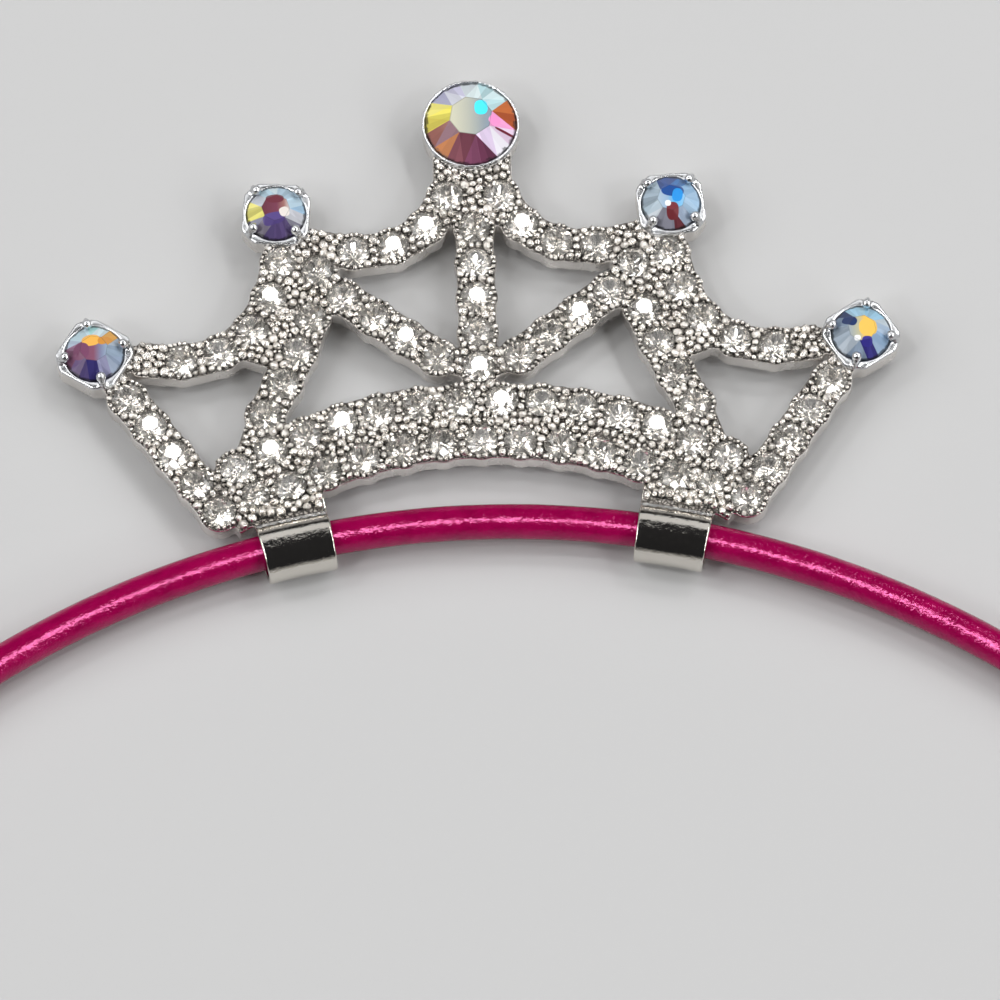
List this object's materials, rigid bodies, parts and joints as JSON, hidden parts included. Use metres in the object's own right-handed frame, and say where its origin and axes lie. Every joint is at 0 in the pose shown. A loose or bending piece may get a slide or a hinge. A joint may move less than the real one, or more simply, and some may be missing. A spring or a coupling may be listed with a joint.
{
  "type": "mini crown headband",
  "caption": "Thin leather-covered hair band with a small cast crown of crystal-set bars, held on the band by wrapped metal clips.",
  "frame": {"origin": "middle of the whole part's box, on the surface that it lies on", "axes": "+X along the crown's width, +Y from the ends of the band towards the crown's tip, +Z out of the crown's front"},
  "size_m": [0.1302, 0.1522, 0.0039],
  "materials": {
    "leather_cover": "lacquered pink",
    "plated_metal": "bright silver-coloured plating",
    "clear_crystal": "clear, foiled below",
    "aurora_crystal": "rainbow coating, foiled below"
  },
  "bodies": {
    "root": {"band": "leather_cover", "crown_frame": "plated_metal", "pave_stones": "clear_crystal", "stone_centre": "aurora_crystal", "stone_mid_left": "aurora_crystal", "stone_mid_right": "aurora_crystal", "stone_outer_left": "aurora_crystal", "stone_outer_right": "aurora_crystal"}
  },
  "joints": []
}
